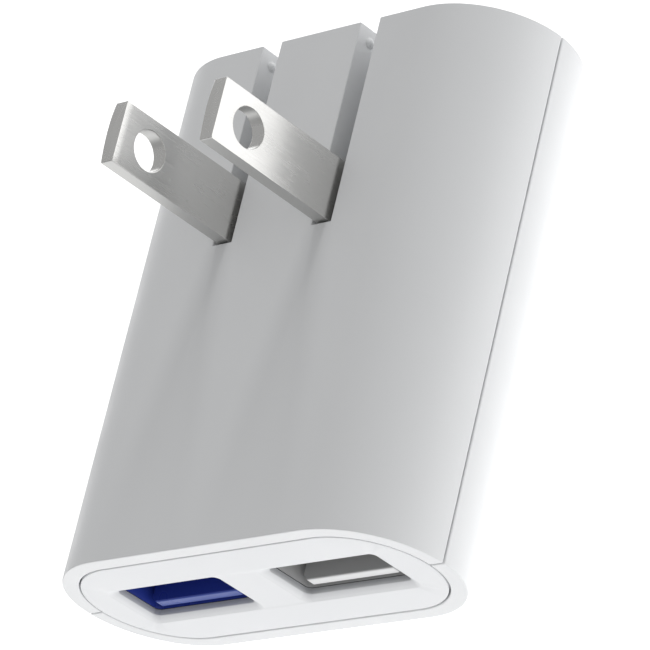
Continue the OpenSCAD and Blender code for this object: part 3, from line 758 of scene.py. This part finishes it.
bm = bmesh.new()
rim = [panel_loop(bm, inset, y) for inset, y in (
    (EDGE, PORT_END), (0.35 * EDGE, PORT_END + 0.3 * EDGE), (0, PORT_END + EDGE),
    (0, panel_high.y - EDGE), (EDGE, panel_high.y), (SKIRT, panel_high.y - EDGE),
    (SKIRT, PORT_END + PANEL_TH))]
join_loops(bm, rim)
mouths, backs = [], []
for x in port_x:
    slope = ROUND_OFF * FLARE_DEEP / FLARE
    opening = [opening_loop(bm, x, grow, deep) for grow, deep in (
        (FLARE + ROUND_OFF, 0), (FLARE - ROUND_OFF, 1.4 * slope), (ROUND_OFF, FLARE_DEEP - slope),
        (0, FLARE_DEEP + ROUND_OFF), (0, PANEL_TH))]
    join_loops(bm, opening)
    mouths += opening[0]
    backs += opening[-1]
bmesh.ops.triangle_fill(bm, use_beauty=True, edges=rim[0] + mouths)
bmesh.ops.triangle_fill(bm, use_beauty=True, edges=rim[-1] + backs)
clean(bm)
port_panel = make_object("port_plate", bm)
notch_x = board_high.x + NOTCH_GAP
carve(port_panel, box((-notch_x, board_low.y - 2 * NOTCH_GAP, board_low.z - NOTCH_GAP),
                      (notch_x, panel_high.y + OVERSHOOT, board_high.z + NOTCH_GAP)), "DIFFERENCE")
finish_piece(port_panel, "housing", "white_panel", panel_plastic, "port_panel")

# %% [markdown]
# ## The USB sockets
# Inside each opening is a moulding with a flat tongue, which carries the four contacts on its upper side.
# The moulding also lines the metal shell, so its colour is what shows in the opening: blue on the left and
# white on the right, where everything behind the tongue's front edge is painted grey as shade. The lining
# widens towards its mouth. The tongue's front corners are cut off, and its front edge is painted paler than
# the rest, as a painted highlight on the blue, which gives the bright line across each socket.

# %% Socket mouldings
TONGUE_W, TONGUE_TH, TONGUE_LOW = 11.5 * MM, 1 * MM, 2.1 * MM
LINING, LEAD_IN, BACK_WALL = 0.3 * MM, 1 * MM, 2.5 * MM
MOUTH_IN, MOUTH_BEVEL, MOUTH_STEP = 0.1 * MM, 0.06 * MM, 0.04 * MM
OUTER_CORNER, MOUTH_CORNER, INNER_CORNER = 0.59 * MM, 0.55 * MM, 0.35 * MM
CORNER_CUT, FRONT_BEVEL, TONGUE_ROUND = 0.55 * MM, 0.12 * MM, 0.05 * MM
contact_at = [-3.5 * MM, -1 * MM, 1 * MM, 3.5 * MM]
GROOVE_HALF, GROOVE_IN, GROOVE_DOWN, GROOVE_UP = 0.52 * MM, 2.08 * MM, 0.17 * MM, 0.12 * MM


def chamfer(bm, edges, width):
    """Cuts edges off flat."""
    bmesh.ops.bevel(bm, geom=edges, offset=width, offset_type="OFFSET", segments=1, profile=0.5,
                    affect="EDGES", material=-1)


def moulding(side, x, material, slot):
    """Lining, back wall and tongue of one socket."""
    low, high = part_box(f"usb_insulator_{side}")
    mouth_y, back_y = low.y + MOUTH_IN, high.y
    floor_y = back_y - BACK_WALL
    bm = bmesh.new()
    outer = (high.x - low.x, high.z - low.z)
    mouth = (outer[0] - 2 * MOUTH_BEVEL, outer[1] - 2 * MOUTH_BEVEL)
    inner = (outer[0] - 2 * LINING, outer[1] - 2 * LINING)
    loops = [round_loop(bm, size, corner, y, (x, MID)) for size, corner, y in (
        (outer, OUTER_CORNER, back_y), (outer, OUTER_CORNER, mouth_y + MOUTH_STEP),
        (mouth, MOUTH_CORNER, mouth_y), (inner, INNER_CORNER, mouth_y + LEAD_IN),
        (inner, INNER_CORNER, floor_y))]
    join_loops(bm, loops)
    bmesh.ops.edgeloop_fill(bm, edges=loops[0])
    bmesh.ops.edgeloop_fill(bm, edges=loops[-1])
    clean(bm)
    piece = make_object(f"socket_moulding_{side}", bm)

    under = MID - TONGUE_LOW
    tongue = box((x - TONGUE_W / 2, low.y, under), (x + TONGUE_W / 2, floor_y + 0.5 * MM, under + TONGUE_TH))
    front = [e for e in tongue.edges if on_plane(e, 1, low.y)]
    chamfer(tongue, [e for e in front if abs(e.verts[0].co.z - e.verts[1].co.z) > TONGUE_TH / 2], CORNER_CUT)
    front = [e for e in tongue.edges if on_plane(e, 1, low.y)]
    chamfer(tongue, [e for e in front if on_plane(e, 2, under + TONGUE_TH)], FRONT_BEVEL)
    soften(tongue, lambda e: all(v.co.y < floor_y for v in e.verts), TONGUE_ROUND, 2, 20)
    carve(piece, tongue, "UNION")
    for at in contact_at:
        groove = box((x + at - GROOVE_HALF, mouth_y + GROOVE_IN, under + TONGUE_TH - GROOVE_DOWN),
                     (x + at + GROOVE_HALF, back_y + OVERSHOOT, under + TONGUE_TH + GROOVE_UP))
        carve(piece, groove, "DIFFERENCE")
    finish_piece(piece, "housing", slot, material, f"usb_insulator_{side}", crease=25)


moulding("left", port_x[0], blue_moulding, "usb_blue")
moulding("right", port_x[1], grey_moulding, "usb_grey")

# %% [markdown]
# ## The blades
# Each blade is stamped from strip 1.5 mm thick. Its hole is the hard part of the shape, so the blade is built
# outwards from it: a circle, a square round the circle, and then the square's top and bottom edges
# drawn out to the tip and the root. The tip is a shallow arc whose two broad sides are cut back to
# a thinner edge.
# The root narrows to a tail, which turns round the fold line and rubs on a spring.

# %% Blades
HOLE_R, HOLE_UP = 1.98 * MM, 11.9 * MM
TIP_ARC, TAIL_R, NECK = 10 * MM, 3.4 * MM, 1.1 * MM
ROOT_Z = FACE - 1.4 * MM
HOLE_STEPS = 64
TAPER_LEN, TAPER_IN = 0.5 * MM, 0.35 * MM
BLADE_ROUND = 0.07 * MM
SPLIT = 1e-7                        # a split nearer than this to a corner goes through the corner


def draw_out(bm, edges, direction):
    """Extrudes an edge row in a straight line and gives back the new row's corners."""
    made = bmesh.ops.extrude_edge_only(bm, edges=edges)["geom"]
    verts = [g for g in made if isinstance(g, bmesh.types.BMVert)]
    bmesh.ops.translate(bm, verts=verts, vec=direction)
    return verts


def blade(side, x):
    """One blade, from its hole outwards."""
    low, high = blade_boxes[side]
    half_w, half_t = (high.y - low.y) / 2, (high.x - low.x) / 2
    tip_z = high.z
    hole = Vector((x, blade_middle, FACE + HOLE_UP))
    bm = bmesh.new()
    bmesh.ops.create_circle(bm, segments=HOLE_STEPS, radius=HOLE_R)
    hole_edges = list(bm.edges)
    square = bmesh.ops.create_circle(bm, segments=HOLE_STEPS, radius=HOLE_R)["verts"]
    for v in square:
        v.co *= half_w / max(abs(v.co.x), abs(v.co.y))
    square_edges = [e for e in bm.edges if e not in hole_edges]
    bmesh.ops.bridge_loops(bm, edges=hole_edges + square_edges)
    bmesh.ops.rotate(bm, verts=bm.verts, matrix=Matrix.Rotation(math.pi / 2, 3, "Z"))
    bmesh.ops.rotate(bm, verts=bm.verts, matrix=Matrix.Rotation(math.pi / 2, 3, "Y"))
    bmesh.ops.translate(bm, verts=bm.verts, vec=hole)

    top = [e for e in square_edges if on_plane(e, 2, hole.z + half_w)]
    bottom = [e for e in square_edges if on_plane(e, 2, hole.z - half_w)]
    for v in draw_out(bm, top, (0, 0, 1 * MM)):
        v.co.z = tip_z - TIP_ARC + math.sqrt(TIP_ARC ** 2 - (v.co.y - blade_middle) ** 2)
    draw_out(bm, bottom, (0, 0, ROOT_Z - (hole.z - half_w)))
    for y in (FOLD_Y - NECK, FOLD_Y + NECK):
        lower = [f for f in bm.faces if f.calc_center_median().z < hole.z - half_w]
        touched = set(lower) | {e for f in lower for e in f.edges} | {v for f in lower for v in f.verts}
        bmesh.ops.bisect_plane(bm, geom=list(touched), dist=SPLIT, plane_co=(0, y, 0), plane_no=(0, 1, 0))
    neck = [e for e in bm.edges if on_plane(e, 2, ROOT_Z)
            and all(abs(v.co.y - FOLD_Y) < NECK + NEAR for v in e.verts)]
    for v in draw_out(bm, neck, (0, 0, -1 * MM)):
        v.co.z = FOLD_Z - math.sqrt(TAIL_R ** 2 - (v.co.y - FOLD_Y) ** 2)

    bmesh.ops.translate(bm, verts=bm.verts, vec=(-half_t, 0, 0))
    thick = bmesh.ops.extrude_face_region(bm, geom=bm.faces[:])["geom"]
    bmesh.ops.translate(bm, verts=[g for g in thick if isinstance(g, bmesh.types.BMVert)],
                        vec=(2 * half_t, 0, 0))
    slope = math.atan2(TAPER_LEN, TAPER_IN)
    for way in (-1, 1):
        everything = bm.verts[:] + bm.edges[:] + bm.faces[:]
        cut = bmesh.ops.bisect_plane(bm, geom=everything, dist=CUT, clear_outer=True,
                                     plane_co=(x + way * half_t, 0, tip_z - TAPER_LEN),
                                     plane_no=(way * math.sin(slope), 0, math.cos(slope)))
        bmesh.ops.edgeloop_fill(bm, edges=[e for e in cut["geom_cut"] if isinstance(e, bmesh.types.BMEdge)])
    clean(bm)
    soften(bm, lambda e: True, BLADE_ROUND, 2, 25)
    clean(bm)
    piece = make_object(f"folding_blade_{side}", bm)
    finish_piece(piece, "plug", "blade_nickel", blade_nickel, f"blade_{side}", crease=12)


for side, x in blade_x.items():
    blade(side, x)

# %% [markdown]
# ## The parts inside
# Everything behind the panel and the slots comes straight from the frame, and each kind of part gets the
# finish that it has on a real board.

# %% Finishes for the parts inside
inner_finishes = {
    hub_plastic: ["blade_hub"],
    keeper_plastic: ["hub_keeper"],
    screw_steel: ["keeper_screws"],
    spring_steel: ["detent_spring"],
    spring_bronze: ["contact_spring_left", "contact_spring_right"],
    enamelled_copper: ["choke_winding"],
    usb_steel: ["usb_shell_left", "usb_shell_right"],
    contact_gilt: ["usb_contacts_left", "usb_contacts_right"],
    tinned_wire: ["transformer_pins", "bulk_capacitor_leads"],
    amber_film: ["insulation_sheet"],
    ferrite: ["transformer_core", "choke_core"],
    bobbin_plastic: ["transformer_bobbin"],
    winding_tape: ["transformer_winding"],
    film_case: ["film_capacitor"],
    dark_sleeve: ["bulk_capacitors"],
    green_sleeve: ["output_capacitor"],
    green_board: ["main_board"],
    safety_ceramic: ["safety_capacitor"],
    fuse_ceramic: ["fuse"],
    chip_epoxy: ["bridge_rectifier", "optocoupler", "controller_chip", "output_rectifier", "charge_chip"],
}
for material, node_names in inner_finishes.items():
    for node_name in node_names:
        for material_slot in frame["nodes"][node_name].material_slots:
            material_slot.material = material
print("inner parts finished", sum(len(n) for n in inner_finishes.values()))
